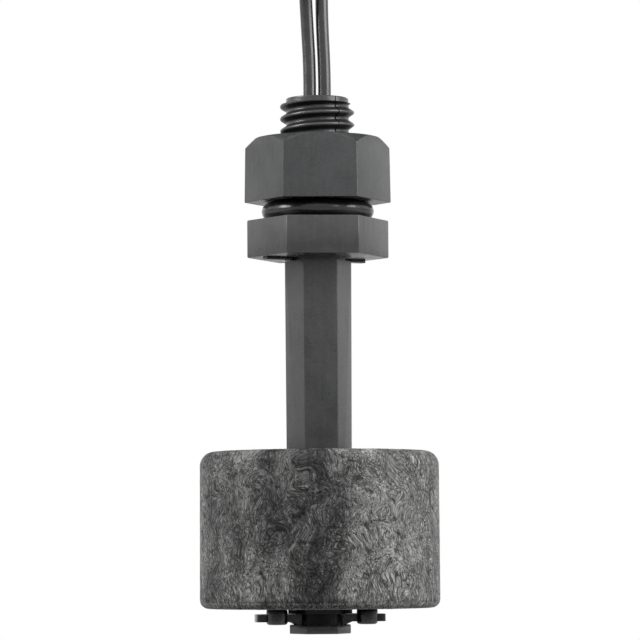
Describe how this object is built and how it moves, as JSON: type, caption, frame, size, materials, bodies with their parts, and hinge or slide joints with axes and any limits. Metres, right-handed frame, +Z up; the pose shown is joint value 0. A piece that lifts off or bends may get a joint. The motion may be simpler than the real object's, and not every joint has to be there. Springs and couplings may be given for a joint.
{
  "type": "float switch",
  "caption": "Liquid level switch that hangs from a tank roof: threaded stud with nut and seal ring, hexagonal stem, sliding foam float on a clip, and free leads.",
  "frame": {"origin": "centre of the flange's upper face, which seals under the panel, on the axis of the stud", "axes": "+Z up along the stem, from the float to the threaded stud and the leads; the front faces -Y, and +X is to its right"},
  "size_m": [0.0306, 0.0306, 0.1468],
  "materials": {
    "housing_plastic": "satin",
    "nut_plastic": "satin",
    "clip_plastic": "satin",
    "seal_rubber": "satin",
    "float_foam": "matte",
    "magnet_ferrite": "matte",
    "potting_resin": "gloss",
    "reed_glass": "gloss",
    "reed_metal": "satin",
    "sleeve_plastic": "satin",
    "shrink_plastic": "satin",
    "solder": "satin",
    "tinned_wire": "satin",
    "lead_insulation": "satin",
    "tie_nylon": "satin"
  },
  "bodies": {
    "switch_body": {"stem": "housing_plastic", "upper_clip": "clip_plastic", "lower_clip": "clip_plastic", "sealing_ring": "seal_rubber", "potting": "potting_resin", "reed_glass": "reed_glass", "reed_blade_upper": "reed_metal", "reed_blade_lower": "reed_metal", "return_sleeve": "sleeve_plastic", "shrink_sleeve_left": "shrink_plastic", "shrink_sleeve_right": "shrink_plastic", "solder_joint_left": "solder", "solder_joint_right": "solder", "inner_conductor_left": "tinned_wire", "inner_conductor_right": "tinned_wire", "lead_left_tip": "tinned_wire", "lead_right_tip": "tinned_wire", "inner_lead_left": "lead_insulation", "inner_lead_right": "lead_insulation", "lead_left": "lead_insulation", "lead_right": "lead_insulation", "lead_hank": "lead_insulation", "lead_left_end": "lead_insulation", "lead_right_end": "lead_insulation", "hank_tie": "tie_nylon"},
    "float": {"float_body": "float_foam", "magnet_ring": "magnet_ferrite"},
    "nut": {"mounting_nut": "nut_plastic"}
  },
  "joints": [
    {"name": "float_slide", "type": "slide", "parent": "switch_body", "child": "float", "axis": [0, 0, 1], "range_m": [0, 0.0242]},
    {"name": "nut_travel", "type": "slide", "parent": "switch_body", "child": "nut", "axis": [0, 0, 1], "range_m": [0, 0.00476]}
  ]
}
